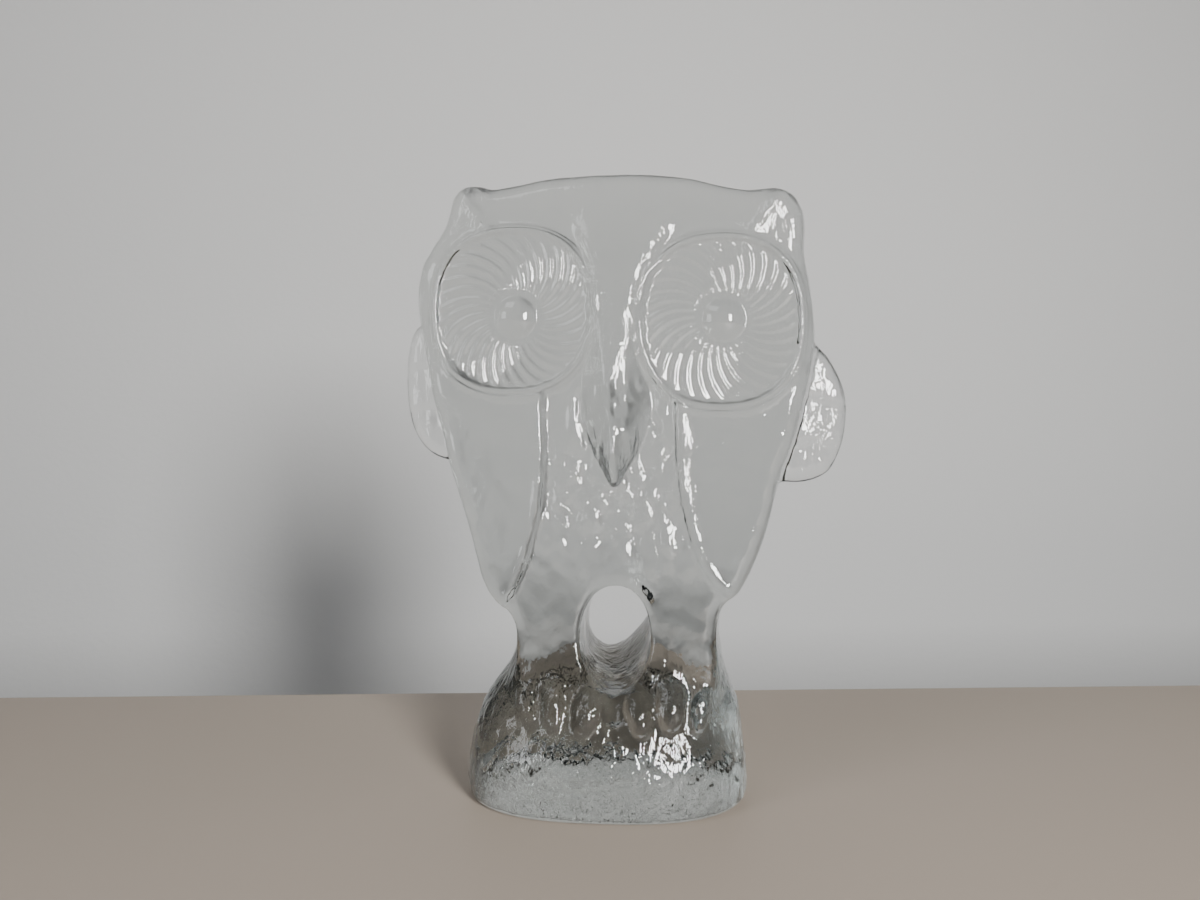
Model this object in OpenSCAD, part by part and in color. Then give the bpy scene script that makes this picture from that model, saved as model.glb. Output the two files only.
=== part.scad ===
// Owl figurine of pressed clear glass, 170 mm tall, standing on a rounded plinth.
// It is one casting. Each named region of it is its own solid, and neighbours meet face to face.
// Origin: centre of the underside. +X is the right-hand side seen from the front, +Y points to
// the back, +Z is up. Lengths are in millimetres, angles in degrees.

/* [Overall] */
// Height from the underside to the crown of the head
owl_h = 170; // [160:1:180]
// Width of the head at the eyes
head_w = 109; // [106:1:114]
// Thickness of the body and head, front to back
body_t = 26; // [22:1:30]
// Rounding of the body's front edge
front_edge_r = 3.5; // [2:0.5:4]
// Rounding of the body's back edge
back_edge_r = 5; // [2:0.5:6]

/* [Plinth] */
// Width of the plinth
plinth_w = 76; // [72:1:80]
// Depth of the plinth, front to back
plinth_d = 56; // [50:1:60]
// Height of the plinth, up to the toes
plinth_h = 20; // [17:1:22]
// How far the plinth's middle lies to the left of the body's
plinth_offset = 2.5; // [0:0.5:3]

/* [Legs] */
// Height at which the feet end and the legs begin
ankle_z = 35; // [33:1:37]
// Width of the opening between the legs
gap_w = 18.6; // [14:0.2:20]
// Height of the opening between the legs
gap_h = 28; // [20:1:28]
// Radius of the biggest toe
toe_r = 4.2; // [3:0.2:4.2]

/* [Eyes] */
// Radius of an eye disc
eye_r = 21; // [19:0.5:21]
// Thickness of an eye disc
eye_t = 2.6; // [2:0.2:4]
// Width of the raised rim round an eye disc
rim_w = 1.6; // [1:0.2:2]
// Radius of a pupil
pupil_r = 5.6; // [4:0.2:6]
// Height of a pupil's dome
pupil_h = 3.4; // [2:0.2:4]
// Number of swirling ribs round a pupil
rib_count = 30; // [20:1:32]
// Angle that a rib turns through on its way out
rib_swirl = 30; // [10:5:40]

/* [Wings] */
// Width over the two side wings
wing_span = 126; // [124:1:132]
// Thickness of a front wing's relief
front_wing_t = 3; // [2:0.2:4]
// Thickness of a side wing's upper row of feathers
side_wing_t = 10; // [8:0.5:11]
// How much further back each lower row of feathers reaches
feather_step = 1.2; // [0.6:0.2:2]
// How much higher the left side wing sits than the right one
side_wing_lift = 5.5; // [0:0.5:6]

/* [Hidden] */

// Sizes of the outlines as they are drawn below; they are stretched to the sizes above.
drawn_h = 170;
drawn_head_w = 109;
drawn_span = 126;
kz = owl_h / drawn_h;
kx = head_w / drawn_head_w;

face_y = -body_t / 2;               // plane of the face and breast
back_y = body_t / 2;                // plane of the back
disc_y = face_y - eye_t;            // front plane of the eye discs
gap_z = ankle_z - 3.5 + gap_h / 2;  // height of the opening's middle
hip_z = ankle_z + gap_h - 1;        // where the legs run into the breast
toe_y = -18;                        // the toes lie in front of this plane
chin_z = 104 * kz;                  // where the breast runs into the head
left_eye = [-27.4 * kx, 130.3 * kz];
right_eye = [27.7 * kx, 127 * kz];
ear_margin = 4;                     // an ear tuft is this much thinner than the head each side
big = 400;                          // reaches past everything
steps = 3;                          // curve points between two drawn points

// ---- Curves and skins ----

// Point at t (0 to 1) between b and c on the smooth curve through a, b, c, d
function catmull(a, b, c, d, t) =
    0.5 * (2 * b + (c - a) * t + (2 * a - 5 * b + 4 * c - d) * t * t
        + (3 * b - a - 3 * c + d) * t * t * t);

// Smooth closed curve through a list of points
function smooth_loop(p) = let (n = len(p))
    [for (i = [0:n - 1], s = [0:steps - 1])
        catmull(p[(i + n - 1) % n], p[i], p[(i + 1) % n], p[(i + 2) % n], s / steps)];

// The closed counter-clockwise curve p, moved inwards by d
function inset(p, d) = let (n = len(p))
    [for (i = [0:n - 1])
        let (t = p[(i + 1) % n] - p[(i + n - 1) % n])
        p[i] + d * [-t.y, t.x] / norm(t)];

// A curve in the XY plane, raised to height z
function at_height(p, z) = [for (q = p) [q.x, q.y, z]];

// Point of a superellipse with half-axes a and b
function rounded_point(a, b, power, angle) =
    [a * sign(cos(angle)) * pow(abs(cos(angle)), 2 / power),
     b * sign(sin(angle)) * pow(abs(sin(angle)), 2 / power)];

// Faces of a flat cap over a ring of n points: strips from one side of the ring to the other
function cap(n) = concat(
    [[n - 1, 0, 1]],
    [for (i = [1:ceil(n / 2) - 2]) [n - i, i, i + 1, n - i - 1]],
    n % 2 == 0 ? [[n / 2 + 1, n / 2 - 1, n / 2]] : []);

// Closed solid through a stack of rings with equally many points, listed from the bottom up
module skin(rings) {
    n = len(rings[0]);
    top = (len(rings) - 1) * n;
    polyhedron(
        points = [for (ring = rings) each ring],
        faces = concat(
            cap(n),
            [for (face = cap(n)) [for (k = [len(face) - 1:-1:0]) top + face[k]]],
            [for (k = [0:len(rings) - 2], i = [0:n - 1])
                let (j = (i + 1) % n)
                [k * n + i, (k + 1) * n + i, (k + 1) * n + j, k * n + j]]
        )
    );
}

// Stands a shape that was drawn flat in XY upright, so that its Y becomes Z and its Z the front
module upright() {
    rotate([90, 0, 0]) children();
}

// Slab with the upright outline p from plane y_back to plane y_front, its front edge rounded by
// front_r and its back edge by back_r
module slab(p, y_front, y_back, front_r, back_r) {
    turn = [0, 30, 60, 90];
    back_rings = [for (a = turn)
        at_height(inset(p, back_r * (1 - sin(a))), -y_back + back_r * (1 - cos(a)))];
    front_rings = [for (a = turn)
        at_height(inset(p, front_r * (1 - cos(a))), -y_front - front_r * (1 - sin(a)))];
    upright() skin(concat(back_r > 0 ? back_rings : [at_height(p, -y_back)], front_rings));
}

// ---- The body's silhouette ----

body_points = [for (p = [
    [0, 4], [20, 7], [29, 17], [29.5, 30], [27.5, 39], [28.5, 46], [32, 53], [37, 61],
    [41, 72], [45, 88], [49, 102], [52.5, 117], [54, 132], [52.5, 142], [50, 150],
    [45.5, 157], [38, 162.5], [27, 166.5], [15, 169.2], [0, 170], [-14, 169.3],
    [-27, 167], [-38, 163.3], [-46, 157.5], [-51, 150.5], [-54.2, 142], [-55, 132],
    [-53.5, 119], [-50, 103], [-46, 88], [-41, 72], [-37, 60], [-33, 52],
    [-29.5, 46.5], [-28.3, 39], [-29.5, 30], [-29, 17], [-20, 7]
]) [p.x * kx, p.y * kz]];

// The whole body and head with no hole, from which the regions are cut
module body_blank() {
    slab(smooth_loop(body_points), face_y, back_y, front_edge_r, back_edge_r);
}

// Everything between two heights, on one side of the middle: side is -1 left, 1 right, 0 both
module region(z0, z1, side = 0) {
    width = side == 0 ? big : big / 2;
    translate([side <= 0 ? -big / 2 : 0, -big / 2, z0]) cube([width, big, z1 - z0]);
}

// The opening between the legs, right through from front to back
module leg_opening() {
    translate([0, big / 2, gap_z])
        upright()
            linear_extrude(big)
                polygon([for (a = [3.75:7.5:359]) [gap_w / 2 * cos(a), gap_h / 2 * sin(a)]]);
}

// ---- Plinth, feet and legs ----

// Ring of the plinth or feet: half-width a, half-depth b, middle at x, height z
function base_ring(a, b, power, x, z) =
    [for (angle = [0:7.5:359]) let (p = rounded_point(a, b, power, angle)) [x + p.x, p.y, z]];

module plinth() {
    a = plinth_w / 2;
    b = plinth_d / 2;
    x = -plinth_offset;
    color("lightcyan")
        skin([
            base_ring(a - 3.5, b - 3.5, 2.5, x, 0),
            base_ring(a - 1, b - 1, 2.5, x, 1.5),
            base_ring(a, b, 2.5, x, 5),
            base_ring(a, b, 2.5, x, plinth_h * 0.6),
            base_ring(a - 1.5, b - 1.5, 2.5, x, plinth_h)
        ]);
}

// Both feet as one mound, from the plinth's top up to the ankles
module feet_blank() {
    a = plinth_w / 2 - 1.5;
    b = plinth_d / 2 - 1.5;
    rise = ankle_z - plinth_h;
    skin([
        base_ring(a, b, 2.5, -plinth_offset, plinth_h),
        base_ring(a - 3, b - 2.5, 2.5, -plinth_offset * 0.6, plinth_h + rise * 0.4),
        base_ring(a - 5.5, b - 7, 2.5, -plinth_offset * 0.3, plinth_h + rise * 0.75),
        base_ring(29.3 * kx, back_y, 2.8, 0, ankle_z)
    ]);
}

module foot(side) {
    color("azure")
        difference() {
            intersection() {
                feet_blank();
                region(plinth_h, ankle_z, side);
                translate([-big / 2, toe_y, 0]) cube(big);
            }
            leg_opening();
        }
}

// Toes as [middle in X, share of the biggest radius]: outer, middle and inner on the left foot,
// inner, middle and outer on the right one
left_toes = [[-22.6, 0.71], [-15.6, 0.8], [-6.4, 0.95]];
right_toes = [[6.5, 0.76], [14.3, 1], [22.2, 0.71]];

// Rounded bars that slope down from the foot to the plinth's front edge
module toes(foot_toes) {
    heel_z = ankle_z - 2 - toe_r;
    color("paleturquoise")
        intersection() {
            for (toe = foot_toes) {
                r = toe_r * toe[1];
                tip = [toe[0], -plinth_d / 2 + 1.2 + r, plinth_h + r * 0.9];
                run = toe_y + 6 - tip.y;
                rise = heel_z - tip.z;
                translate(tip)
                    rotate([atan2(rise, run) - 90, 0, 0]) {
                        cylinder(h = norm([run, rise]), r = r, $fn = 72);
                        sphere(r = r, $fn = 72);
                    }
            }
            translate([-big / 2, toe_y - big, plinth_h]) cube(big);
        }
}

module leg(side) {
    color("aliceblue")
        intersection() {
            difference() {
                body_blank();
                leg_opening();
            }
            region(ankle_z, hip_z, side);
        }
}

// ---- Breast and head ----

module breast() {
    color("mintcream")
        intersection() {
            body_blank();
            region(hip_z, chin_z);
        }
}

// Staggered rows of short upright feathers, each shaped like a lens, clear of beak and wings
module breast_feathers() {
    length = 8;
    width = 1.9;
    arc_r = (length * length + width * width) / (4 * width);
    color("white")
        for (row = [0:3], i = [0:7]) {
            x = -16 + 4 * i + 2 * (row % 2);
            z = (68 + 9 * row) * kz;
            clear_x = row == 3 ? 10 : row == 2 ? 7 : 0;
            if (abs(x) >= clear_x && x < 14.5)
                translate([x, face_y, z])
                    upright()
                        linear_extrude(0.6)
                            intersection_for(side = [-1, 1])
                                translate([side * (arc_r - width / 2), 0])
                                    circle(r = arc_r, $fn = 120);
        }
}

module head() {
    color("aliceblue")
        intersection() {
            body_blank();
            region(chin_z, big);
        }
}

left_ear_points = [
    [-34, 166.3], [-38, 167.3], [-42.5, 166.8], [-45.8, 163.5], [-46.8, 158.5], [-49.5, 152.5],
    [-46, 150], [-39, 154], [-33, 161]
];
right_ear_points = [
    [50.6, 150], [51.6, 156], [49.6, 162], [44.5, 165.2], [37, 165.2], [32, 165.4],
    [33, 158], [40, 151], [47, 147]
];

// Tuft that fills the corner between its outline and the rounded head
module ear_tuft(points) {
    placed = [for (p = points) [p.x * kx, p.y * kz]];
    color("lightcyan")
        difference() {
            translate([0, back_y - ear_margin, 0])
                upright()
                    linear_extrude(body_t - 2 * ear_margin)
                        polygon(smooth_loop(placed));
            body_blank();
        }
}

// One level of the beak: half-width w and how far its crest stands out of the face
function beak_ring(z, w, crest) = concat(
    [for (a = [180:15:360]) [w * cos(a), face_y - crest * pow(abs(sin(a)), 1.4), z * kz]]);

// The beak and the ridge that runs up from it between the eyes to the forehead
module beak() {
    color("paleturquoise")
        skin([
            beak_ring(84, 0.8, 3.5), beak_ring(86, 2.2, 7), beak_ring(90, 4.2, 9.5),
            beak_ring(96, 6.6, 10.5), beak_ring(104, 8.8, 9.5), beak_ring(112, 8, 7.5),
            beak_ring(122, 6, 6), beak_ring(134, 5.6, 4.8), beak_ring(144, 6.6, 3.2),
            beak_ring(152, 9, 1.4), beak_ring(157, 12, 0.4)
        ]);
}

// ---- Eyes ----

// Puts its children at an eye's middle, with their Z towards the front from the plane y
module at_eye(eye, y) {
    translate([eye.x, y, eye.y]) upright() children();
}

module eye_disc(eye) {
    color("aliceblue")
        at_eye(eye, face_y)
            difference() {
                cylinder(h = eye_t + 0.8, r = eye_r, $fn = 120);
                translate([0, 0, eye_t]) cylinder(h = 2, r = eye_r - rim_w, $fn = 120);
            }
}

// Outline of one curved rib that starts in direction angle and turns as it runs outwards
function rib_outline(angle, r0, r1) = let (
    shares = [0:0.125:1],
    side = function (s, e) let (
        r = r0 + (r1 - r0) * s,
        half = 0.35 + 0.55 * sin(180 * min(s * 1.1 + 0.05, 1)),
        turn = angle + rib_swirl * pow(s, 1.4) + e * half / r * 57.3
    ) [r * cos(turn), r * sin(turn)])
    concat([for (s = shares) side(s, -1)], [for (s = shares) side(1 - s, 1)]);

module eye_ribs(eye) {
    color("white")
        at_eye(eye, disc_y)
            for (i = [0:rib_count - 1])
                linear_extrude(0.7)
                    polygon(rib_outline(360 / rib_count * i, pupil_r + 1.2, eye_r - rim_w - 0.6));
}

module pupil(eye) {
    ball_r = (pupil_r * pupil_r + pupil_h * pupil_h) / (2 * pupil_h);
    color("lightblue")
        at_eye(eye, disc_y)
            intersection() {
                translate([0, 0, pupil_h - ball_r]) sphere(r = ball_r, $fn = 96);
                cylinder(h = big, r = big);
            }
}

// ---- Wings ----

left_wing_points = [
    [-19.5, 110], [-24, 112], [-33, 112], [-42, 110], [-44.5, 104], [-44, 97], [-41, 84],
    [-37.5, 72], [-33.5, 62], [-30.5, 56.5], [-28.8, 56.8], [-25, 62.5], [-22, 70],
    [-19.7, 80], [-19, 92], [-19, 102]
];
right_wing_points = [
    [16, 106], [15.8, 96], [16.6, 84], [18.6, 74], [21.5, 66], [25.5, 60], [29.3, 57.6],
    [31.5, 58], [35.5, 66], [38.5, 76], [41.5, 88], [45, 100], [46, 106], [42, 110],
    [33, 112], [22, 110]
];

// Leaf-shaped relief on the breast, cut off where it runs in under the eye disc
module front_wing(points, eye) {
    placed = [for (p = points) [p.x * kx, p.y * kz]];
    color("honeydew")
        difference() {
            slab(smooth_loop(placed), face_y - front_wing_t, face_y, 1.5, 0);
            at_eye(eye, big / 2) cylinder(h = big, r = eye_r, $fn = 120);
        }
}

// Right side wing as it is seen from the front, from the shoulder round to the middle of the back
side_wing_points = [
    [14, 96], [22, 89], [34, 85], [46, 84], [55, 85], [60, 89], [62.5, 96], [63, 105],
    [61.5, 113], [58, 120], [52, 125], [42, 127], [30, 125.5], [20, 120], [13.5, 112],
    [12, 104]
];
row_z = [60, 97, 112, 150];  // heights that part the three rows of feathers

module side_wing(side) {
    drawn = smooth_loop([for (p = side_wing_points) [p.x * wing_span / drawn_span, p.y * kz]]);
    front = back_y - side_wing_t + 1;
    color("honeydew")
        difference() {
            translate([0, 0, side < 0 ? side_wing_lift : 0])
                mirror([side < 0 ? 1 : 0, 0, 0])
                    for (row = [0:2]) {
                        depth = side_wing_t + feather_step * (2 - row);
                        translate([0, front + depth, 0])
                            upright()
                                linear_extrude(depth)
                                    intersection() {
                                        polygon(drawn);
                                        translate([0, row_z[row] * kz])
                                            square([big, (row_z[row + 1] - row_z[row]) * kz]);
                                    }
                    }
            body_blank();
        }
}

plinth();
foot(-1);  // left_foot
foot(1);  // right_foot
toes(left_toes);
toes(right_toes);
leg(-1);  // left_leg
leg(1);  // right_leg
breast();
breast_feathers();
head();
ear_tuft(left_ear_points);  // left_ear_tuft
ear_tuft(right_ear_points);  // right_ear_tuft
beak();
eye_disc(left_eye);  // left_eye_disc
eye_disc(right_eye);  // right_eye_disc
eye_ribs(left_eye);  // left_eye_ribs
eye_ribs(right_eye);  // right_eye_ribs
pupil(left_eye);  // left_pupil
pupil(right_eye);  // right_pupil
front_wing(left_wing_points, left_eye);  // left_front_wing
front_wing(right_wing_points, right_eye);  // right_front_wing
side_wing(-1);  // left_side_wing
side_wing(1);  // right_side_wing
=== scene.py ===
"""A clear pressed-glass owl on a pale floor.

The owl is one casting, so one closed glass mesh stands for every region of the CAD model. Its
shape is a field over space, negative inside the glass. The field is written in millimetres in the
part's own frame: +X to the viewer's right, +Y to the owl's back, +Z up.
"""

import math

import bmesh
import bpy
import numpy as np
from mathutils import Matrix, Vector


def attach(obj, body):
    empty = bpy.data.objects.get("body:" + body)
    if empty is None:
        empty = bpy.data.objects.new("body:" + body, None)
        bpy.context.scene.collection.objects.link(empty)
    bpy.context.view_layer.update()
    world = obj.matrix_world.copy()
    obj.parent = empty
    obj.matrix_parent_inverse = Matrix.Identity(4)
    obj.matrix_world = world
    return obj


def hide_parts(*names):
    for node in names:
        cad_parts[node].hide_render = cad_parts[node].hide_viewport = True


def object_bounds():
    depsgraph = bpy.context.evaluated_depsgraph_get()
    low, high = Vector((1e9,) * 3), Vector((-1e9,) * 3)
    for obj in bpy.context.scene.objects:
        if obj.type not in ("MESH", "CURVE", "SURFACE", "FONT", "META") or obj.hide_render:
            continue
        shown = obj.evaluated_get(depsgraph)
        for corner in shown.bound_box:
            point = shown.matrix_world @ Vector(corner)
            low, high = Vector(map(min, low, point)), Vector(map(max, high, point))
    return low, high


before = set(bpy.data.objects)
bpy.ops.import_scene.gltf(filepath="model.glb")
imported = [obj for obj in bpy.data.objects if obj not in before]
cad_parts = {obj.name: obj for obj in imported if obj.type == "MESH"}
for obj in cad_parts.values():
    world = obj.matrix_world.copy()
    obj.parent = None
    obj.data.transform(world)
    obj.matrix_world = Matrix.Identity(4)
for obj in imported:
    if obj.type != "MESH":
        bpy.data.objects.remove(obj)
cad_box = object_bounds()

DRAWN_HEIGHT = 172.1        # of the owl as it is drawn below, in mm
TRUE_SIZE = cad_box[1][2] / DRAWN_HEIGHT    # metres for each drawn mm

# ---- Resolution ----

GRID_PITCH = 1.03           # of the field, in mm
COARSE_STEP = 4             # grid steps between points where only the side matters
NEAR_SURFACE = 6            # grid steps within which the field is worked out point by point
OUTLINE_PITCH = 0.4         # of the tables of distance to an outline
DETAIL_DEPTH = -8           # the relief is fine in front of this plane
DETAIL_SHARE = 1.03         # and out to this share of an eye disc
FIELD_LOW = (-66.0, -32.0, -2.0)
FIELD_HIGH = (67.0, 31.0, 180.0)

# ---- Outlines in the XZ plane, in mm: only the points that the shape needs ----

BODY_OUTLINE = [
    (0, 10), (20, 14), (28, 26), (28.2, 36), (27.6, 44), (29, 50.5), (33.7, 54.8), (37.2, 61.5),
    (41, 71.5), (44.6, 86), (48.8, 98.5), (52, 111), (53.8, 122.5), (53.6, 131), (52.6, 139),
    (51, 147.5), (51.2, 155.5), (50.4, 160), (47.8, 163.6), (44, 165.2), (40, 165.1), (35.5, 164.9),
    (30, 165.9), (17.7, 168.8), (2, 170), (-17, 169.3), (-27, 167.6), (-34.3, 166.5), (-38.5, 167.3),
    (-42.3, 167.2), (-45.4, 164.7), (-46.6, 161), (-48, 156), (-52, 149.5), (-54.6, 144.5),
    (-55.6, 138), (-55.4, 131), (-53.4, 120), (-50.8, 107.6), (-47.8, 95.3), (-45.8, 88),
    (-41.9, 75.2), (-39.1, 65.3), (-36.5, 57.1), (-33.3, 51.8), (-29.6, 48.6), (-27.6, 44),
    (-27.6, 36), (-28, 26), (-20, 14),
]
RIGHT_LOBE_OUTLINE = [
    (14, 97), (23, 89), (36, 85), (48, 84.1), (54, 84.8), (59, 87.6), (62.2, 93.4), (63.7, 100),
    (63.6, 108), (61.5, 114.5), (57.5, 121), (51, 126), (40, 128), (28, 126), (18, 119), (13, 108),
]
LEFT_LOBE_OUTLINE = [
    (-14, 102), (-12.5, 113), (-17, 124), (-28, 131), (-40, 133), (-51, 132), (-57.5, 129.5),
    (-60.3, 125.5), (-61.7, 118), (-61.6, 109), (-60.2, 100.5), (-57, 94.8), (-52.5, 91.4),
    (-46, 90.2), (-35, 91), (-22, 95),
]
LEFT_WING_OUTLINE = [
    (-20.3, 112), (-30, 116), (-44, 118), (-54, 118), (-56, 106), (-50, 92), (-44, 70), (-38, 52),
    (-32, 49.5), (-28.3, 53.5), (-24.6, 60.5), (-21.9, 69), (-19.7, 79), (-18.8, 91), (-19.3, 103),
]
RIGHT_WING_OUTLINE = [
    (15.8, 108), (15.7, 97), (16.6, 84), (18.6, 74), (21.2, 65.4), (25, 59.2), (28.8, 55.6),
    (34, 52), (40, 56), (46, 76), (51, 92), (56, 106), (54, 118), (42, 118), (28, 116), (18, 113),
]

# ---- Levels of the front and back surface, in mm from the middle plane, by height ----

FACE_LEVEL = [
    (20, 17.5), (36, 17), (48, 16.4), (60, 15.2), (75, 14), (90, 13.3), (110, 12.8), (135, 12.4),
    (150, 12), (162, 11), (172, 9.5),
]
BACK_LEVEL = [
    (20, 17), (40, 16), (52, 14.5), (66, 13), (90, 12.4), (120, 12), (145, 11.4), (160, 10.6),
    (172, 9),
]
BACK_DOME = 1.6
BACK_HALF_WIDTH = 56

# Nose and beak by height: how far the crest stands out, half-width of its top, and of its foot
NOSE_CREST = [
    (83.2, 0), (84.6, 4.2), (87, 7.6), (91, 9.2), (97, 9.2), (105, 7.5), (112, 5.8), (120, 4.6),
    (131, 3.9), (142, 3.1), (150, 1.8), (158, 0.2), (165, 0),
]
NOSE_TOP = [
    (84, 0.2), (97, 0.3), (108, 0.9), (114, 1.7), (120, 2.9), (129, 4.2), (140, 6.2), (150, 9.6),
    (160, 13),
]
NOSE_FOOT = [
    (83, 1), (86, 2.4), (91, 5.2), (98, 8.2), (105, 9.4), (112, 8.8), (122, 7.2), (134, 7.6),
    (145, 10.4), (152, 14), (160, 19),
]
NOSE_EDGE = 0.6             # how soft its edges are, as a share of the flank
NOSE_BEVEL = 0.27           # slope of the bevel along the right edge of its top
NOSE_BEVEL_WIDTH = 2.4
NOSE_BEVEL_INSET = 2.0      # from the top's right edge to where the bevel starts
NOSE_BEVEL_START = (96, 108)    # heights between which the bevel fades in
NOSE_START = (82.6, 84.2)   # heights between which the beak's tip rises
NOSE_END = (150, 164)       # heights between which the ridge fades into the forehead
NOSE_MIDDLE = [(84, -0.3), (100, 0), (120, -0.2), (129, 0), (140, 1), (150, 1.8), (160, 2)]

# Plinth and feet as one mound: middle in X, half-width and half-depth, by height
MOUND_MIDDLE = [(0, -2.9), (20, -2.5), (30, -1.3), (38, -0.2), (60, 0)]
MOUND_WIDTH = [
    (0, 37.4), (6, 38), (14, 37.2), (20, 36.1), (26, 34.2), (31, 31.5), (35, 29.1), (38, 27.7),
    (44, 24), (52, 12), (58, 2),
]
MOUND_DEPTH = [
    (0, 27.6), (7, 28), (13, 27.3), (19, 25.4), (25, 22.8), (30, 20.6), (36, 18.2), (44, 15),
    (52, 9), (58, 2),
]
MOUND_POWER = 2.5
MOUND_TOP = 54.0            # where the mound is cut off inside the body
GROOVE_X = 0.4              # of the groove between the feet
GROOVE_DEPTH = 2.6
GROOVE_WIDTH = 2.4
GROOVE_START = (21, 31)     # heights between which it fades in
GROOVE_END = (38, 46)       # and out
GROOVE_REACH = (4, 12)      # distances in front of the middle plane between which it fades in

# Eyes: middle of the disc, its half-width and half-height, middle of the pupil, turn of the ribs
# in degrees and their rise in mm
LEFT_EYE = {
    "middle": (-27.4, 130.2), "half": (21.7, 22.3), "pupil": (-26.5, 128.4), "turn": 32.0,
    "rise": 0.3,
}
RIGHT_EYE = {
    "middle": (27.6, 126.9), "half": (21.8, 23.2), "pupil": (28.2, 127.3), "turn": 27.0,
    "rise": 0.22,
}
EYE_POWER = 2.35
DISC_RISE = 1.3
DISC_DISH = 0.3
DISC_EDGE = 0.7             # half-width of the step at the disc's edge
RIM_RISE = 1.25
RIM_WIDTH = 0.85
RIM_INSET = 0.9
PUPIL_RADIUS = 5.7
PUPIL_RISE = 2.2
RIB_COUNT = 30
RIB_START = (0.9, 3.2)      # distances from the pupil between which the ribs fade in
RIB_END = (0.84, 0.93)      # shares of the disc between which they fade out
RIB_LEAN = 0.15             # how much steeper one flank of a rib is than the other

# Front wings: rise of the leaf, and the bead along its inner edge
WING_RISE = 1.7
WING_TOP = (112, 118)       # heights between which the wings fade into the face
WING_EDGE = (-0.6, 0.7)     # distances from the outline between which the leaf falls away
WING_FULL = 1.5             # rise from which the wing's own waviness is at full strength
BEAD_RISE = 0.45
BEAD_WIDTH = 1.05
BEAD_INSET = 1.3
BEAD_END = (34, 44)         # distances from the middle between which the bead fades out

# Folds from the tips of the ears down towards the eyes: ends in X and Z
EAR_FOLDS = [((45, 162.5), (35.5, 151)), ((-43.5, 164.5), (-35, 153))]
EAR_FOLD_RISE = 1.5
EAR_FOLD_REACH = 3.2
EAR_FOLD_START = (146, 152)     # heights between which the folds fade in

# The mould's draft: the body's outline is true in one plane and grows towards the back
DRAFT_CENTRE = (0.0, 85.0)
DRAFT_PLANE = 1.5
DRAFT = 0.0033              # growth of the outline per mm of depth
LOBE_DRAFT = 0.12
LOBE_DRAFT_PLANE = 9.0

# Radii of the edges, and of the inner corners where two masses join
BODY_FRONT_EDGE = 3.5
BODY_BACK_EDGE = 2.0
LOBE_EDGE = 3.0
MOUND_EDGES = (2.2, 1.0)    # front, back
MOUND_EDGE_CHANGE = (0, 10)     # places in Y between which the one becomes the other
HOLE_EDGES = (1.6, 0.4)     # front, back
HOLE_EDGE_CHANGE = (-4, 6)
MOUND_CORNER = 3.0
LOBE_CORNER = 0.8
TOE_CORNER = 0.7

# Toes: middle in X and Z, half-width, half-height, lean in degrees; all have one half-depth
TOE_HALF_DEPTH = 3.4
TOE_SLOPE = 0.42            # how far their front moves back per mm of height
TOE_INSET = 0.6             # how far their middle lies behind the mound's surface
TOES = [
    (-22.8, 27.5, 2.9, 6.6, -8), (-15.6, 28.3, 3.2, 7.2, -3), (-6.6, 27.3, 3.7, 6.6, 14),
    (6.2, 27.3, 3.4, 6.2, -14), (14.1, 28.6, 4.2, 6.6, 0), (22.0, 27.6, 2.6, 6.4, 6),
]

# The opening between the legs
HOLE_MIDDLE_X = 0.0
HOLE_HALF_WIDTH = 9.3
HOLE_TOP = 57.8
HOLE_TOP_FALL = 2.3         # how much lower its top is at the back
HOLE_TOP_POWER = 2.2
HOLE_FLOOR_POWER = 1.75
HOLE_FLOOR_FRONT = 29.6
HOLE_FLOOR_BACK = 36.2
HOLE_FLOOR_SLANT = 0.55     # how fast the floor rises to the right at the back
HOLE_RUN = (-16, 18)        # places in Y between which front becomes back

PEEL_ATTRIBUTE = "peel"     # how strong the glass's orange-peel skin is at a point
PEEL_LEAST = 0.25
PEEL_ON_LOBES = 0.7         # as a share of the way from the least to full strength
PEEL_IN_EYES = 0.15
PEEL_BREAST = ((62, 74), (92, 104), (17, 24))   # fades: start, end, and to the sides
PEEL_CREST = ((110, 120), 2.4)                  # fade at the start, width
PEEL_EARS = ((146, 151), (32, 38))              # fades: start, and from the middle outwards
PEEL_FOOT_END = (30, 46)
PEEL_LOBES = ((50, 54), (126, 132))             # fades: from the middle outwards, end

# Side wings: levels of their front and back, and heights of the steps between rows of feathers
LOBE_FRONT = 2.2
LOBE_BACK = 10.8
LOBE_TILT = 0.13
LOBE_TILT_START = 48        # distance from the middle beyond which the front tilts back
ROW_STEP = 0.6
SCALLOP_DEPTH = 0.24
SCALLOP_WIDTH = 3.6
RIGHT_LOBE_ROWS = (107.0, 95.0)
LEFT_LOBE_ROWS = (117.0, 105.0)

# Seeded waviness in mm: height, wavelength, how much Z is squeezed, seed
FEATHER_WAVES = [(0.42, 4.2, 0.28, 11), (0.2, 2.3, 0.45, 12)]
FEATHER_START = (56, 70)    # heights between which the breast's streaks fade in
FEATHER_END = (108, 116)    # and out
WING_WAVES = [(0.11, 6.0, 0.4, 13)]
BACK_WAVES = [(0.05, 13.0, 0.7, 14)]
SKIN_WAVES = [(0.11, 17.0, 1.0, 21), (0.05, 5.5, 1.0, 22)]
FOOT_WAVES = [(0.16, 4.2, 1.0, 23), (0.04, 2.4, 1.0, 24)]
FOOT_START = (0.5, 3)       # heights between which the foot's roughness fades in
FOOT_END = (26, 44)         # and out


# ---- Looks ----

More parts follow.
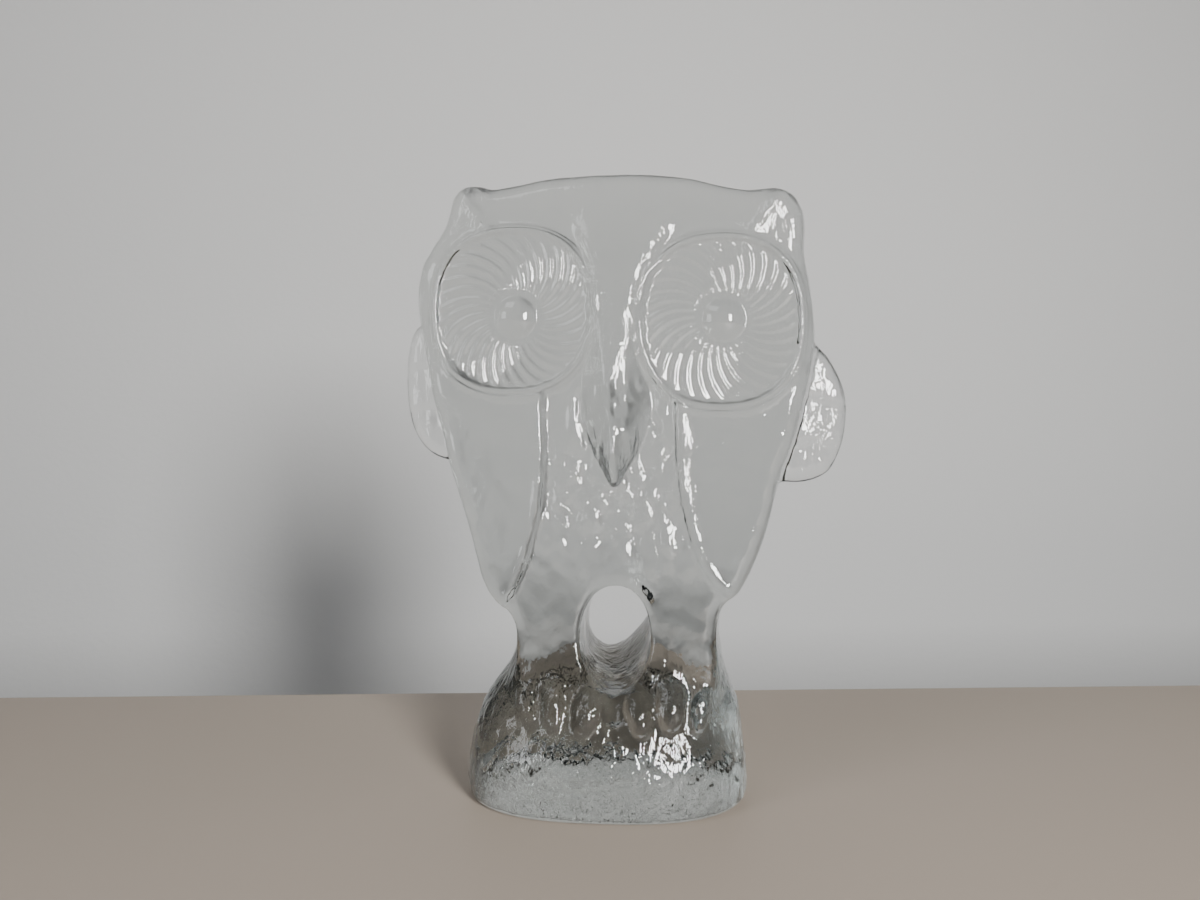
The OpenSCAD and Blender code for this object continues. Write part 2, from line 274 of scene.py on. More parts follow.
GLASS_COLOR = (0.985, 0.99, 0.988, 1)
GLASS_ROUGHNESS = 0.01
GLASS_IOR = 1.52
# Absorption in the glass: a slight grey tint of its own, made many times stronger as painted shade
# that darkens all the glass
GLASS_TINT_AND_SHADE_COLOR = (0.785, 0.797, 0.79, 1)
GLASS_TINT_AND_SHADE_DENSITY = 62.0
PEEL_SCALE = 620.0
PEEL_STRETCH = (1.0, 1.0, 0.45)
PEEL_DEPTH = 0.0005
FLOOR_COLOR = (0.37, 0.31, 0.255, 1)
WALL_COLOR = (0.74, 0.735, 0.725, 1)
WALL_GRAIN_SCALE = 160.0
WALL_GRAIN_DEPTH = 0.0008

# Turn of the floor and the backdrop about the owl, in degrees, and their sizes in metres
STAGE_TURN = 6.2
FLOOR_SIZE = (1.6, 1.2, 0.02)
FLOOR_GAP = 0.0001
FLOOR_FAR_EDGE = 98         # behind the owl's middle, in drawn mm
WALL_SIZE = (1.24, 0.02)    # width and thickness
WALL_HEIGHTS = (-0.28, 0.70)
WALL_DISTANCE = 0.60

# Camera: turn to the right in degrees, then distance, height and shift in drawn mm
CAMERA_TURN = 4.0
CAMERA_DISTANCE = 250
CAMERA_HEIGHT = 93.3
CAMERA_SHIFT = -5

# World: colour at the horizon and overhead
WORLD_LOW = (0.05, 0.05, 0.05, 1)
WORLD_HIGH = (0.10, 0.105, 0.11, 1)

# Lights: name, place and target and size in metres, power in watts, colour
OWL_MIDDLE = (0, 0, cad_box[1][2] / 2)
COOL = (0.97, 0.98, 1.0)
LIGHTS = [
    ("window", (0.40, -0.75, 0.29), OWL_MIDDLE, (0.17, 0.32), 16.5, (1.0, 1.0, 0.99)),
    ("top", (-0.40, -0.50, 0.80), OWL_MIDDLE, (0.5, 0.3), 1.5, COOL),
    ("fill", (-0.80, -0.70, 0.34), (0, 0.1, 0.1), (0.3, 0.5), 2.5, COOL),
]


# ---- Curves and blends ----

def smooth_closed(points, steps=7):
    """Closed Catmull-Rom curve through the points."""
    p = np.array(points, float)
    a, b, c, d = (np.roll(p, shift, axis=0)[:, None, :] for shift in (1, 0, -1, -2))
    t = (np.arange(steps) / steps)[None, :, None]
    curve = 2 * b + (c - a) * t + (2 * a - 5 * b + 4 * c - d) * t**2 + (3 * b - a - 3 * c + d) * t**3
    return (0.5 * curve).reshape(-1, 2)


def along(t, table):
    """Smooth curve through the table's (place, value) pairs, read at the places t."""
    places, values = np.array(table, float).T
    slopes = np.gradient(values, places)
    i = np.clip(np.searchsorted(places, t) - 1, 0, len(places) - 2)
    width = places[i + 1] - places[i]
    s = np.clip((t - places[i]) / width, 0.0, 1.0)
    return (
        values[i] * (1 + 2 * s) * (1 - s) ** 2
        + values[i + 1] * s**2 * (3 - 2 * s)
        + slopes[i] * width * s * (1 - s) ** 2
        - slopes[i + 1] * width * s**2 * (1 - s)
    )


def step(value, start, end):
    """0 before start, 1 after end, smooth between them."""
    s = np.clip((value - start) / (end - start), 0.0, 1.0)
    return s * s * (3 - 2 * s)


def bell(value, width):
    return np.exp(-((value / width) ** 2))


def fillet_both(a, b, radius):
    """What is inside both fields, with the edge between them rounded."""
    corner = np.hypot(np.maximum(radius + a, 0), np.maximum(radius + b, 0))
    return np.minimum(-radius, np.maximum(a, b)) + corner


def fillet_either(a, b, radius):
    """What is inside either field, with the inner corner between them rounded."""
    return -fillet_both(-a, -b, radius)


def soft_greater(a, b, width):
    """The greater of two heights, blended where they are within width of each other."""
    share = np.maximum(width - np.abs(a - b), 0) / width
    return np.maximum(a, b) + share**2 * width / 4


def ripple(x, y, z, wavelength, seed, waves=18):
    """Even, seeded waviness of about one wavelength, mostly between -1 and 1."""
    random = np.random.default_rng(seed)
    total = 0.0
    for _ in range(waves):
        direction = random.normal(size=3)
        direction *= 2 * math.pi / wavelength * random.uniform(0.7, 1.35) / np.linalg.norm(direction)
        phase = direction[0] * x + direction[1] * y + direction[2] * z + random.uniform(0, 2 * math.pi)
        total = total + np.sin(phase)
    return total * math.sqrt(2 / waves) * 0.6


def waves_of(x, y, z, table):
    """Sum of the ripples in one of the tables of waviness above."""
    return sum(
        height * ripple(x, y, z * upright, wavelength, seed)
        for height, wavelength, upright, seed in table
    )


class Outline:
    """Signed distance in the XZ plane to a smooth closed outline, negative inside."""

    def __init__(self, points):
        curve = smooth_closed(points)
        self.low = np.array([FIELD_LOW[0], FIELD_LOW[2]]) - 2
        high = np.array([FIELD_HIGH[0], FIELD_HIGH[2]]) + 2
        self.count = np.ceil((high - self.low) / OUTLINE_PITCH).astype(int) + 1
        axes = [self.low[k] + OUTLINE_PITCH * np.arange(self.count[k]) for k in (0, 1)]
        x, z = (g.ravel() for g in np.meshgrid(*axes, indexing="ij"))
        nearest = np.full(x.shape, 1e9)
        inside = np.zeros(x.shape, bool)
        for start, end in zip(curve, np.roll(curve, -1, axis=0)):
            side = end - start
            share = ((x - start[0]) * side[0] + (z - start[1]) * side[1]) / (side @ side)
            share = np.clip(share, 0, 1)
            gap = (x - start[0] - share * side[0]) ** 2 + (z - start[1] - share * side[1]) ** 2
            np.minimum(nearest, gap, out=nearest)
            if side[1] != 0:
                spans = (start[1] > z) != (end[1] > z)
                inside ^= spans & (x < start[0] + (z - start[1]) * side[0] / side[1])
        self.table = (np.sqrt(nearest) * np.where(inside, -1, 1)).reshape(self.count)

    def distance(self, x, z):
        u = np.clip((x - self.low[0]) / OUTLINE_PITCH, 0, self.count[0] - 1.001)
        v = np.clip((z - self.low[1]) / OUTLINE_PITCH, 0, self.count[1] - 1.001)
        i, j = u.astype(int), v.astype(int)
        s, t = u - i, v - j
        table = self.table
        low = table[i, j] * (1 - s) + table[i + 1, j] * s
        high = table[i, j + 1] * (1 - s) + table[i + 1, j + 1] * s
        return low * (1 - t) + high * t


body_outline = Outline(BODY_OUTLINE)
right_lobe_outline = Outline(RIGHT_LOBE_OUTLINE)
left_lobe_outline = Outline(LEFT_LOBE_OUTLINE)
left_wing_outline = Outline(LEFT_WING_OUTLINE)
right_wing_outline = Outline(RIGHT_WING_OUTLINE)


# ---- Relief on the front ----

def eye_share(x, z, eye):
    """How far out on the eye disc a point lies: 0 in the middle, 1 at the rim."""
    u = np.abs(x - eye["middle"][0]) / eye["half"][0]
    v = np.abs(z - eye["middle"][1]) / eye["half"][1]
    return (u**EYE_POWER + v**EYE_POWER + 1e-9) ** (1 / EYE_POWER)


def eye_height(x, z, eye, fine):
    """Height of the eye above the face: disc with a rim, swirling ribs and a domed pupil."""
    share = eye_share(x, z, eye)
    rim_gap = (share - 1) * eye["half"][0]
    disc = DISC_RISE * (1 - step(rim_gap, -DISC_EDGE, DISC_EDGE))
    disc = disc - DISC_DISH * (1 - step(share, 0.2, 0.93))
    rim = RIM_RISE * bell(rim_gap + RIM_INSET, RIM_WIDTH)
    dx = x - eye["pupil"][0]
    dz = z - eye["pupil"][1]
    radius = np.hypot(dx, dz)
    outward = np.clip((radius - PUPIL_RADIUS) / (eye["half"][0] - PUPIL_RADIUS), 0, 1.2)
    swirl = math.radians(eye["turn"]) * outward**1.5
    phase = RIB_COUNT * (np.arctan2(dz, dx) - swirl)
    wave = np.sin(phase + RIB_LEAN * np.sin(phase))
    starts = step(radius, PUPIL_RADIUS + RIB_START[0], PUPIL_RADIUS + RIB_START[1])
    reach = starts * (1 - step(share, *RIB_END))
    ball = (PUPIL_RADIUS**2 + PUPIL_RISE**2) / (2 * PUPIL_RISE)
    dome = np.sqrt(np.maximum(ball**2 - radius**2, 0)) - (ball - PUPIL_RISE)
    height = disc + fine * (rim + eye["rise"] * reach * wave)
    pupil = DISC_RISE - DISC_DISH + dome * np.where(radius < ball, 1, 0)
    return soft_greater(height, pupil, 0.3) * (1 - step(rim_gap, 0.2, 1.4))


def nose_height(x, z):
    """Height of the ridge between the eyes and of the beak that it runs down into."""
    middle = along(z, NOSE_MIDDLE)
    top = along(z, NOSE_TOP)
    foot = along(z, NOSE_FOOT)
    share = np.clip((np.abs(x - middle) - top) / np.maximum(foot - top, 0.2), 0, 1)
    flank = 1 - share
    rounded = 1 - (1 + NOSE_EDGE) * (1 - flank) ** 2 / (1 - flank + NOSE_EDGE)
    ends = step(z, *NOSE_START) * (1 - step(z, *NOSE_END))
    beyond = np.clip(x - middle - top + NOSE_BEVEL_INSET, 0, NOSE_BEVEL_WIDTH)
    bevel = NOSE_BEVEL * beyond * step(z, *NOSE_BEVEL_START)
    return (along(z, NOSE_CREST) - bevel) * rounded * ends


def wing_height(x, z, outline):
    """Height of a front wing: a leaf that falls towards its outer edge, with a beaded inner rim."""
    gap = outline.distance(x, z)
    inner = 1 - step(np.abs(x), *BEAD_END)
    bead = BEAD_RISE * bell(gap + BEAD_INSET, BEAD_WIDTH) * inner
    leaf = WING_RISE * (1 - step(gap, *WING_EDGE))
    return (leaf + bead) * (1 - step(z, *WING_TOP))


def ear_fold(x, z, start, end):
    """Fold that runs from an ear's tip down towards the eye."""
    run = np.array(end, float) - start
    share = np.clip(((x - start[0]) * run[0] + (z - start[1]) * run[1]) / (run @ run), 0, 1)
    gap = np.hypot(x - start[0] - share * run[0], z - start[1] - share * run[1])
    return EAR_FOLD_RISE * np.clip(1 - gap / EAR_FOLD_REACH, 0, 1) ** 1.3 * (1 - 0.5 * share)


def front_level(x, z, fine):
    """Distance from the middle plane to the front surface; fine is 0 to leave out fine relief."""
    face = along(z, FACE_LEVEL)
    level = face
    breast = (1 - step(z, *FEATHER_END)) * step(z, *FEATHER_START)
    wings = np.maximum(
        wing_height(x, z, left_wing_outline), wing_height(x, z, right_wing_outline)
    )
    on_wing = np.clip(wings / WING_FULL, 0, 1)
    if fine:
        level = level + waves_of(x, 0 * x, z, FEATHER_WAVES) * breast * (1 - on_wing)
        level = level + waves_of(x, 0 * x, z, WING_WAVES) * on_wing
    level = level + wings
    for eye in (LEFT_EYE, RIGHT_EYE):
        outside = step(eye_share(x, z, eye), 0.96, 1.04)
        level = level * outside + face * (1 - outside) + eye_height(x, z, eye, fine)
    folds = sum(ear_fold(x, z, start, end) for start, end in EAR_FOLDS)
    level = level + folds * step(z, *EAR_FOLD_START)
    eyes = np.minimum(eye_share(x, z, LEFT_EYE), eye_share(x, z, RIGHT_EYE))
    return level + nose_height(x, z) * step(eyes, 0.94, 1.0)


def back_level(x, z):
    """Distance from the middle plane to the back surface, a shallow dome."""
    dome = BACK_DOME * (1 - np.clip(x / BACK_HALF_WIDTH, -1, 1) ** 2)
    return along(z, BACK_LEVEL) + dome + waves_of(x, 0 * x, z, BACK_WAVES)


# ---- The solids ----

def body_field(x, y, z, fine):
    shrink = 1 - DRAFT * (y - DRAFT_PLANE)
    side = body_outline.distance(
        DRAFT_CENTRE[0] + (x - DRAFT_CENTRE[0]) * shrink,
        DRAFT_CENTRE[1] + (z - DRAFT_CENTRE[1]) * shrink,
    )
    slab = fillet_both(-y - front_level(x, z, fine), side, BODY_FRONT_EDGE)
    return fillet_both(slab, y - back_level(x, z), BODY_BACK_EDGE)


def lobe_field(x, y, z, outline, rows):
    """A side wing level with the body's back, with overlapping rows of feathers on its front."""
    relief = 0.0
    for height in rows:
        below = height + 0.9 * np.cos(x * 0.35) - z
        scallops = bell(below - 3.2, 2.8) * np.cos(x * 2 * math.pi / SCALLOP_WIDTH)
        relief = relief + ROW_STEP * step(below, -0.5, 0.5) - SCALLOP_DEPTH * scallops
    front = LOBE_FRONT + LOBE_TILT * np.maximum(np.abs(x) - LOBE_TILT_START, 0) + relief
    faces = np.maximum(front - y, y - LOBE_BACK)
    side = outline.distance(x, z) - LOBE_DRAFT * (y - LOBE_DRAFT_PLANE)
    return fillet_both(faces, side, LOBE_EDGE)


def mound_field(x, y, z):
    """Plinth and feet: rounded sections whose size follows the height, flat underneath."""
    dx = np.abs(x - along(z, MOUND_MIDDLE))
    groove = GROOVE_DEPTH * bell(x - GROOVE_X, GROOVE_WIDTH) * step(z, *GROOVE_START)
    groove = groove * (1 - step(z, *GROOVE_END)) * step(-y, *GROOVE_REACH)
    depth = along(z, MOUND_DEPTH) - groove
    share = (
        (dx / along(z, MOUND_WIDTH)) ** MOUND_POWER
        + (np.abs(y) / depth) ** MOUND_POWER
        + 1e-6
    ) ** (1 / MOUND_POWER)
    reach = np.hypot(dx, y) + 0.05
    side = reach - reach / share
    edge = MOUND_EDGES[0] + (MOUND_EDGES[1] - MOUND_EDGES[0]) * step(y, *MOUND_EDGE_CHANGE)
    return fillet_both(side, np.maximum(-z, z - MOUND_TOP), edge)


def toe_field(x, y, z, toe):
    middle_x, middle_z, half_width, half_height, lean = toe
    angle = math.radians(lean)
    width = along(middle_z, MOUND_WIDTH)
    depth = along(middle_z, MOUND_DEPTH)
    middle_y = -depth * (1 - abs(middle_x / width) ** MOUND_POWER) ** (1 / MOUND_POWER)
    dx = x - middle_x
    dz = z - middle_z
    across = dx * math.cos(angle) - dz * math.sin(angle)
    up = dx * math.sin(angle) + dz * math.cos(angle)
    out = y - middle_y - TOE_SLOPE * dz - TOE_INSET
    share = np.sqrt(
        (across / half_width) ** 2 + (out / TOE_HALF_DEPTH) ** 2 + (up / half_height) ** 2
    )
    return (share - 1) * min(half_width, TOE_HALF_DEPTH)


def hole_field(x, y, z):
    """The opening between the legs; its floor rises to the back, most of all on the right."""
    back = step(y, *HOLE_RUN)
    slant = HOLE_FLOOR_SLANT * np.clip(x, -HOLE_HALF_WIDTH, HOLE_HALF_WIDTH)
    floor = HOLE_FLOOR_FRONT + back * (HOLE_FLOOR_BACK - HOLE_FLOOR_FRONT + slant)
    top = HOLE_TOP - HOLE_TOP_FALL * back
    half_height = (top - floor) / 2
    middle_z = (top + floor) / 2
    u = np.abs(x - HOLE_MIDDLE_X) / HOLE_HALF_WIDTH
    v = np.abs(z - middle_z) / half_height
    power = np.where(z < middle_z, HOLE_FLOOR_POWER, HOLE_TOP_POWER)
    share = (u**power + v**power + 1e-9) ** (1 / power)
    return (share - 1) * HOLE_HALF_WIDTH


def skin_texture(x, y, z):
    """Waviness that the mould and the cooling leave on the glass."""
    foot = (1 - step(z, *FOOT_END)) * step(z, *FOOT_START)
    return waves_of(x, y, z, SKIN_WAVES) + waves_of(x, y, z, FOOT_WAVES) * foot


def owl_field(x, y, z, fine=1):
    field = body_field(x, y, z, fine)
    field = fillet_either(field, mound_field(x, y, z), MOUND_CORNER)
    for outline, rows in (
        (left_lobe_outline, LEFT_LOBE_ROWS), (right_lobe_outline, RIGHT_LOBE_ROWS),
    ):
        field = fillet_either(field, lobe_field(x, y, z, outline, rows), LOBE_CORNER)
    for toe in TOES:
        field = fillet_either(field, toe_field(x, y, z, toe), TOE_CORNER)
    edge = HOLE_EDGES[0] + (HOLE_EDGES[1] - HOLE_EDGES[0]) * step(y, *HOLE_EDGE_CHANGE)
    field = fillet_both(field, -hole_field(x, y, z), edge)
    if fine:
        field = field - skin_texture(x, y, z) * step(z, 0, 2)
    return np.maximum(field, -z)


def plain_field(x, y, z):
    return owl_field(x, y, z, fine=0)


# ---- From the field to a mesh ----

def evaluate(function, points, block=60000):
    return np.concatenate([
        function(*points[start:start + block].T) for start in range(0, len(points), block)
    ])


def field_on_grid():
    """The plain field on an even grid. Far from the surface a coarser grid will do."""
    axes = [np.arange(FIELD_LOW[k], FIELD_HIGH[k], GRID_PITCH) for k in range(3)]
    coarse_axes = [axis[::COARSE_STEP] for axis in axes]
    coarse = np.stack([g.ravel() for g in np.meshgrid(*coarse_axes, indexing="ij")], axis=1)
    rough = evaluate(plain_field, coarse).reshape([len(axis) for axis in coarse_axes])
    nearest = []
    for axis in axes:
        index = (np.arange(len(axis)) + COARSE_STEP // 2) // COARSE_STEP
        nearest.append(np.minimum(index, (len(axis) - 1) // COARSE_STEP))
    values = rough[np.ix_(*nearest)]
    close = np.argwhere(np.abs(values) < NEAR_SURFACE * GRID_PITCH)
    points = np.stack([axes[k][close[:, k]] for k in range(3)], axis=1)
    values[tuple(close.T)] = evaluate(plain_field, points)
    return values, axes


def surface_net(values, axes):
    """Quads round the field's zero level, one point in each cell that the level crosses."""
    inside = values < 0
    low = np.array([axis[0] for axis in axes])
    corners = [(i, j, k) for i in (0, 1) for j in (0, 1) for k in (0, 1)]
    cells = tuple(n - 1 for n in values.shape)

    def corner(array, c):
        return array[c[0]:c[0] + cells[0], c[1]:c[1] + cells[1], c[2]:c[2] + cells[2]]

    filled = sum(corner(inside, c).astype(np.int8) for c in corners)
    crossed = (filled > 0) & (filled < 8)
    index = np.full(cells, -1)
    index[crossed] = np.arange(crossed.sum())
    total = np.zeros((crossed.sum(), 3))
    count = np.zeros(crossed.sum())
    for a in corners:
        for axis in range(3):
            if a[axis]:
                continue
            b = tuple(v + (n == axis) for n, v in enumerate(a))
            start, end = corner(values, a)[crossed], corner(values, b)[crossed]
            cut = (start < 0) != (end < 0)
            share = np.where(cut, start / np.where(cut, start - end, 1), 0)
            place = np.tile(np.array(a, float), (len(start), 1))
            place[:, axis] += share
            total += place * cut[:, None]
            count += cut
    cell = np.argwhere(crossed)
    points = low + GRID_PITCH * (cell + total / count[:, None])
    quads = []
    for axis in range(3):
        u, v = (axis + 1) % 3, (axis + 2) % 3
        first = [slice(1, -1)] * 3
        first[axis] = slice(0, -1)
        second = [slice(1, -1)] * 3
        second[axis] = slice(1, None)
        leaving = inside[tuple(first)] & ~inside[tuple(second)]
        entering = ~inside[tuple(first)] & inside[tuple(second)]
        for crossing, turned in ((leaving, False), (entering, True)):
            at = np.argwhere(crossing) + 1
            at[:, axis] -= 1
            ring = []
            for du, dv in ((-1, -1), (0, -1), (0, 0), (-1, 0)):
                near = at.copy()
                near[:, u] += du
                near[:, v] += dv
                ring.append(index[near[:, 0], near[:, 1], near[:, 2]])
            quads.append(np.stack(ring[::-1] if turned else ring, axis=1))
    return points, np.concatenate(quads)


def slope_of(points, reach=0.12):
    """Gradient of the owl's field."""
    columns = []
    for axis in range(3):
        shift = np.zeros(3)
        shift[axis] = reach
        ahead, behind = evaluate(owl_field, points + shift), evaluate(owl_field, points - shift)
        columns.append((ahead - behind) / (2 * reach))
    return np.stack(columns, axis=1)


def settle(points, rounds):
    """Moves points onto the field's zero level."""
    for _ in range(rounds):
        slope = slope_of(points)
        steep = np.maximum((slope**2).sum(axis=1), 0.15)
        move = -evaluate(owl_field, points)[:, None] * slope / steep[:, None]
        points = points + np.clip(move, -GRID_PITCH, GRID_PITCH)
        points[:, 2] = np.maximum(points[:, 2], 0)
    return points


def relax(points, edges, rounds):
    """Evens out the spacing of the points."""
    for _ in range(rounds):
        total = np.zeros_like(points)
        count = np.zeros(len(points))
        for a, b in ((0, 1), (1, 0)):
            np.add.at(total, edges[:, a], points[edges[:, b]])
            np.add.at(count, edges[:, a], 1)
        points = 0.5 * points + 0.5 * total / count[:, None]
    return points


def peel_strength(points):
    """Full on the breast, the foot, the ears and the nose's crest, and faint in the eyes."""
    x, y, z = points.T
    out = np.abs(x)
    starts, ends, sides = PEEL_BREAST
    breast = (1 - step(z, *ends)) * step(z, *starts) * (1 - step(out, *sides))
    starts, width = PEEL_CREST
    edge = np.abs(x - along(z, NOSE_MIDDLE)) - along(z, NOSE_TOP)
    crest = bell(edge, width) * step(z, *starts)
    starts, sides = PEEL_EARS
    ears = step(out, *sides) * step(z, *starts)
    foot = 1 - step(z, *PEEL_FOOT_END)
    sides, ends = PEEL_LOBES
    lobes = PEEL_ON_LOBES * step(out, *sides) * (1 - step(z, *ends))
    rough = np.maximum.reduce([breast, crest, ears, foot, lobes])
    strength = PEEL_LEAST + (1 - PEEL_LEAST) * rough
    for eye in (LEFT_EYE, RIGHT_EYE):
        gap = np.hypot(x - eye["pupil"][0], z - eye["pupil"][1]) - PUPIL_RADIUS
        disc = PEEL_IN_EYES * step(gap, -0.4, 0.6)
        share = step(eye_share(x, z, eye), 0.97, 1.03)
        strength = np.where(y < 0, strength * share + disc * (1 - share), strength)
    return strength


def detail_cuts(middle):
    """How many times an edge is cut where the relief is fine: most in the eyes, some on the nose."""
    x, y, z = middle
    if y > DETAIL_DEPTH:
        return 0
    for eye in (LEFT_EYE, RIGHT_EYE):
        if eye_share(x, z, eye) < DETAIL_SHARE:
            return 2
    return 1 if abs(x - 1) < 12 and 80 < z < 150 else 0


def read_points(mesh):
    flat = np.empty(len(mesh.vertices) * 3)
    mesh.vertices.foreach_get("co", flat)
    return flat.reshape(-1, 3)


def read_edges(mesh):
    flat = np.empty(len(mesh.edges) * 2, int)
    mesh.edges.foreach_get("vertices", flat)
    return flat.reshape(-1, 2)


def owl_mesh():
    points, quads = surface_net(*field_on_grid())
    mesh = bpy.data.meshes.new("owl_casting")
    mesh.from_pydata(points.tolist(), [], quads.tolist())
    work = bmesh.new()
    work.from_mesh(mesh)
    cuts = {face: detail_cuts(face.calc_center_median()) for face in work.faces}
    eyes = {edge for face, count in cuts.items() if count == 2 for edge in face.edges}
    nose = {edge for face, count in cuts.items() if count == 1 for edge in face.edges} - eyes
    bmesh.ops.subdivide_edges(work, edges=list(eyes), cuts=2, use_grid_fill=True)
    bmesh.ops.subdivide_edges(work, edges=list(nose), cuts=1, use_grid_fill=True)
    bmesh.ops.triangulate(work, faces=[face for face in work.faces if len(face.verts) > 4])
    work.to_mesh(mesh)
    work.free()
    edges = read_edges(mesh)
    points = settle(read_points(mesh), 2)
    points = settle(relax(points, edges, 3), 3)
    mesh.vertices.foreach_set("co", (points * TRUE_SIZE).ravel())
    peel = mesh.attributes.new(PEEL_ATTRIBUTE, "FLOAT", "POINT")
    peel.data.foreach_set("value", peel_strength(points))
    mesh.polygons.foreach_set("use_smooth", [True] * len(mesh.polygons))
    mesh.update()
    return mesh


# ---- Materials ----

def shader_nodes(name):
    material = bpy.data.materials.new(name)
    material.use_nodes = True
    tree = material.node_tree
    return material, tree, tree.nodes["Principled BSDF"], tree.nodes["Material Output"]


def glass_material():
    """Clear pressed glass: smooth and bright, with the orange-peel skin that a mould leaves."""
    material, tree, glass, output = shader_nodes("clear_glass")
    glass.inputs["Base Color"].default_value = GLASS_COLOR
    glass.inputs["Transmission Weight"].default_value = 1.0
    glass.inputs["Roughness"].default_value = GLASS_ROUGHNESS
    glass.inputs["IOR"].default_value = GLASS_IOR
    place = tree.nodes.new("ShaderNodeTexCoord")
    peel = tree.nodes.new("ShaderNodeTexNoise")
    peel.inputs["Scale"].default_value = PEEL_SCALE
    peel.inputs["Detail"].default_value = 2.0
    stretch = tree.nodes.new("ShaderNodeMapping")
    stretch.inputs["Scale"].default_value = PEEL_STRETCH
    polish = tree.nodes.new("ShaderNodeAttribute")
    polish.attribute_name = PEEL_ATTRIBUTE
    height = tree.nodes.new("ShaderNodeMath")
    height.operation = "MULTIPLY"
    bump = tree.nodes.new("ShaderNodeBump")
    bump.inputs["Strength"].default_value = 0.8
    bump.inputs["Distance"].default_value = PEEL_DEPTH
    tree.links.new(place.outputs["Object"], stretch.inputs["Vector"])
    tree.links.new(stretch.outputs["Vector"], peel.inputs["Vector"])
    tree.links.new(peel.outputs["Fac"], height.inputs[0])
    tree.links.new(polish.outputs["Fac"], height.inputs[1])
    tree.links.new(height.outputs["Value"], bump.inputs["Height"])
    tree.links.new(bump.outputs["Normal"], glass.inputs["Normal"])
    # Painted shade: this absorption darkens the glass far more than its own slight grey tint would
    tint_and_shade = tree.nodes.new("ShaderNodeVolumeAbsorption")
    tint_and_shade.inputs["Color"].default_value = GLASS_TINT_AND_SHADE_COLOR
    tint_and_shade.inputs["Density"].default_value = GLASS_TINT_AND_SHADE_DENSITY
    tree.links.new(tint_and_shade.outputs["Volume"], output.inputs["Volume"])
    return material


def floor_material():
    material, _, surface, _ = shader_nodes("pale_floor")
    surface.inputs["Base Color"].default_value = FLOOR_COLOR
    surface.inputs["Roughness"].default_value = 0.6
    return material


# ---- Scene ----

def add_owl():
    owl = bpy.data.objects.new("owl_casting", owl_mesh())
    bpy.context.scene.collection.objects.link(owl)
    owl.data.materials.append(glass_material())
    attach(owl, "root")
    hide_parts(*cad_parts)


def add_floor():
    """Plain floor whose far edge lies a little behind the owl."""
    _, depth, thickness = FLOOR_SIZE
    angle = math.radians(STAGE_TURN)
    middle = FLOOR_FAR_EDGE * TRUE_SIZE - depth / 2
    level = -FLOOR_GAP - thickness / 2
    bpy.ops.mesh.primitive_cube_add(size=1)
    floor = bpy.context.object
    floor.name = "floor"
    floor.scale = FLOOR_SIZE
    floor.rotation_euler = (0, 0, angle)
    floor.location = (-middle * math.sin(angle), middle * math.cos(angle), level)
    floor.data.materials.append(floor_material())


def wall_material():
    """Matt paint rolled on plaster."""
    material, tree, surface, _ = shader_nodes("pale_backdrop")
    surface.inputs["Base Color"].default_value = WALL_COLOR
    surface.inputs["Roughness"].default_value = 0.8
    place = tree.nodes.new("ShaderNodeTexCoord")
    grain = tree.nodes.new("ShaderNodeTexNoise")
    grain.inputs["Scale"].default_value = WALL_GRAIN_SCALE
    bump = tree.nodes.new("ShaderNodeBump")
    bump.inputs["Strength"].default_value = 0.25
    bump.inputs["Distance"].default_value = WALL_GRAIN_DEPTH
    tree.links.new(place.outputs["Object"], grain.inputs["Vector"])
    tree.links.new(grain.outputs["Fac"], bump.inputs["Height"])
    tree.links.new(bump.outputs["Normal"], surface.inputs["Normal"])
    return material


def add_backdrop():
    """Plain pale backdrop that little more than fills the frame, so the glass has dark edges."""
    width, thickness = WALL_SIZE
    low, high = WALL_HEIGHTS
    angle = math.radians(STAGE_TURN)
    bpy.ops.mesh.primitive_cube_add(size=1)
    wall = bpy.context.object
    wall.name = "backdrop"
    wall.scale = (width, thickness, high - low)
    wall.rotation_euler = (0, 0, angle)
    wall.location = (
        -WALL_DISTANCE * math.sin(angle),
        WALL_DISTANCE * math.cos(angle),
        (high + low) / 2,
    )
    wall.data.materials.append(wall_material())


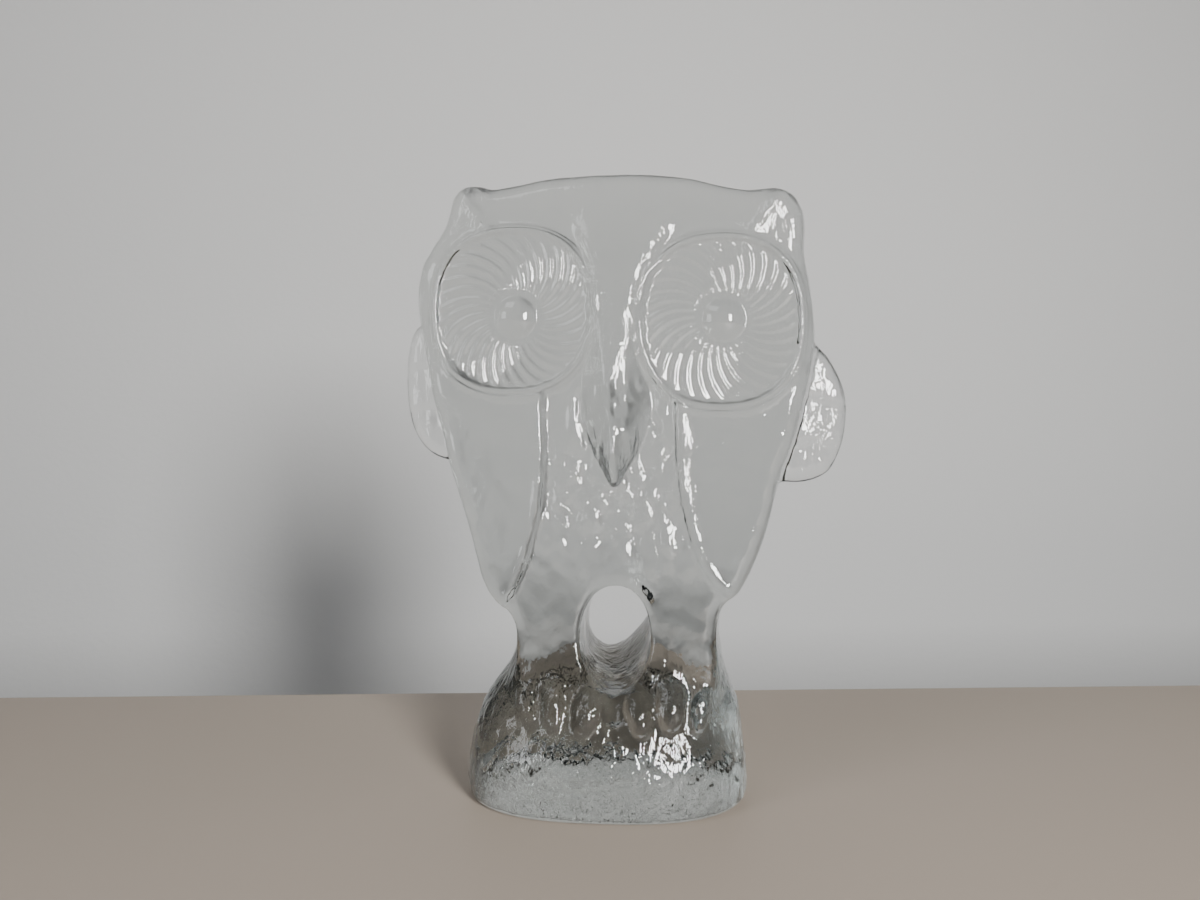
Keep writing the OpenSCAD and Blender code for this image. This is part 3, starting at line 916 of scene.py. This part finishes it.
def add_camera():
    """At the photographer's place: close, a little right of the middle, at breast height."""
    azimuth = math.radians(CAMERA_TURN)
    distance = CAMERA_DISTANCE * TRUE_SIZE
    sideways = CAMERA_SHIFT * TRUE_SIZE
    camera = bpy.data.objects.new("camera", bpy.data.cameras.new("camera"))
    bpy.context.scene.collection.objects.link(camera)
    camera.data.sensor_width = 36
    camera.data.lens = 27
    camera.data.clip_start = 0.01
    camera.location = (
        distance * math.sin(azimuth) + sideways * math.cos(azimuth),
        -distance * math.cos(azimuth) + sideways * math.sin(azimuth),
        CAMERA_HEIGHT * TRUE_SIZE,
    )
    camera.rotation_euler = (math.radians(90), 0, azimuth)
    bpy.context.scene.camera = camera


def add_area_light(name, location, target, size, power, color):
    light = bpy.data.lights.new(name, "AREA")
    light.shape = "RECTANGLE"
    light.size, light.size_y = size
    light.energy = power
    light.color = color
    lamp = bpy.data.objects.new(name, light)
    bpy.context.scene.collection.objects.link(lamp)
    lamp.location = location
    aim = np.array(location) - np.array(target)
    tilt = math.acos(aim[2] / np.linalg.norm(aim))
    lamp.rotation_euler = (tilt, 0, math.atan2(aim[1], aim[0]) + math.pi / 2)
    lamp.visible_camera = False


def add_world():
    """Dim room, dark at the horizon and a little lighter overhead."""
    world = bpy.data.worlds.new("studio")
    bpy.context.scene.world = world
    world.use_nodes = True
    tree = world.node_tree
    background = tree.nodes["Background"]
    place = tree.nodes.new("ShaderNodeTexCoord")
    split = tree.nodes.new("ShaderNodeSeparateXYZ")
    ramp = tree.nodes.new("ShaderNodeValToRGB")
    ramp.color_ramp.interpolation = "EASE"
    ramp.color_ramp.elements[0].position = 0.50
    ramp.color_ramp.elements[0].color = WORLD_LOW
    ramp.color_ramp.elements[1].position = 0.80
    ramp.color_ramp.elements[1].color = WORLD_HIGH
    raise_up = tree.nodes.new("ShaderNodeMath")
    raise_up.operation = "MULTIPLY_ADD"
    raise_up.inputs[1].default_value = 0.5
    raise_up.inputs[2].default_value = 0.5
    tree.links.new(place.outputs["Generated"], split.inputs["Vector"])
    tree.links.new(split.outputs["Z"], raise_up.inputs[0])
    tree.links.new(raise_up.outputs["Value"], ramp.inputs["Fac"])
    tree.links.new(ramp.outputs["Color"], background.inputs["Color"])
    background.inputs["Strength"].default_value = 1.0


add_camera()
add_world()
add_floor()
add_backdrop()
for light in LIGHTS:
    add_area_light(*light)
add_owl()
